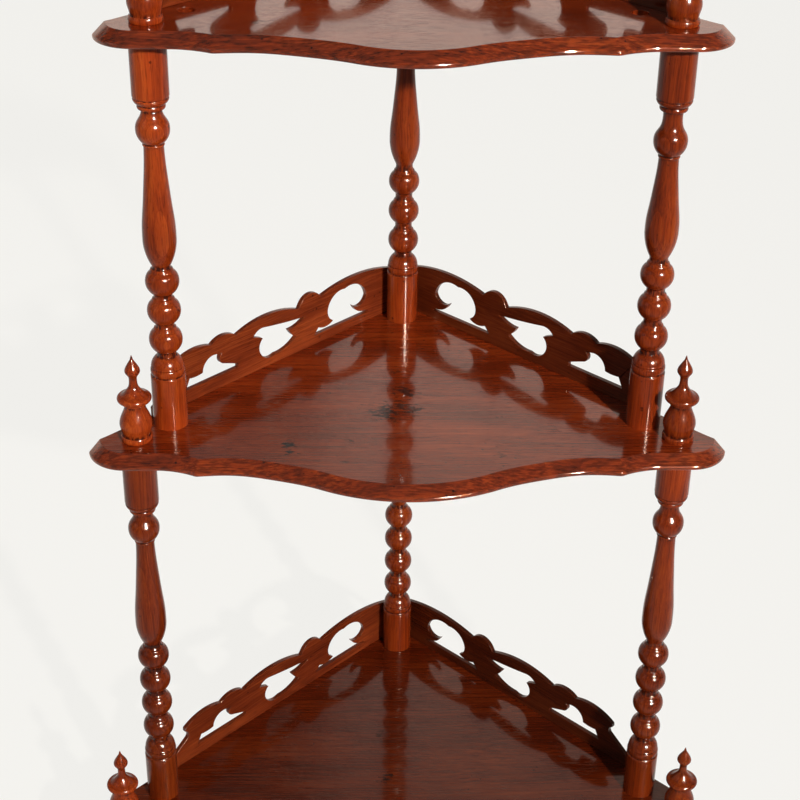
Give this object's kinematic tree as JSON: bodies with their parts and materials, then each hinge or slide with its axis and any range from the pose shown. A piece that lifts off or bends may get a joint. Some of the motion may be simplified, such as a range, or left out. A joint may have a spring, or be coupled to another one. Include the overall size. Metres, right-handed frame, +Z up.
{
  "type": "corner display shelf",
  "caption": "Mahogany corner whatnot: serpentine shelves on turned columns, with finials, pierced galleries on the wall sides and turned feet.",
  "frame": {"origin": "on the floor, under the middle of the space that the stand takes up", "axes": "+Z up; the back corner points to +Y and the bowed fronts to -Y; +X to the right as seen from the front"},
  "size_m": [0.7164, 0.4548, 1.094],
  "materials": {
    "shelf_mahogany": "gloss varnish",
    "turned_mahogany": "gloss varnish",
    "fret_mahogany": "gloss varnish",
    "screw_steel": "dull"
  },
  "bodies": {
    "root": {"shelf_bottom": "shelf_mahogany", "shelf_middle": "shelf_mahogany", "shelf_top": "shelf_mahogany", "column_lower_left": "turned_mahogany", "column_lower_right": "turned_mahogany", "column_lower_back": "turned_mahogany", "column_upper_left": "turned_mahogany", "column_upper_right": "turned_mahogany", "column_upper_back": "turned_mahogany", "finial_bottom_left": "turned_mahogany", "finial_bottom_right": "turned_mahogany", "finial_middle_left": "turned_mahogany", "finial_middle_right": "turned_mahogany", "finial_top_left": "turned_mahogany", "finial_top_right": "turned_mahogany", "gallery_bottom_left": "fret_mahogany", "gallery_bottom_right": "fret_mahogany", "gallery_middle_left": "fret_mahogany", "gallery_middle_right": "fret_mahogany", "gallery_top_left": "fret_mahogany", "gallery_top_right": "fret_mahogany", "foot_left": "turned_mahogany", "foot_right": "turned_mahogany", "foot_back": "turned_mahogany", "screws_bottom": "screw_steel", "screws_middle": "screw_steel", "screws_top": "screw_steel"}
  },
  "joints": []
}
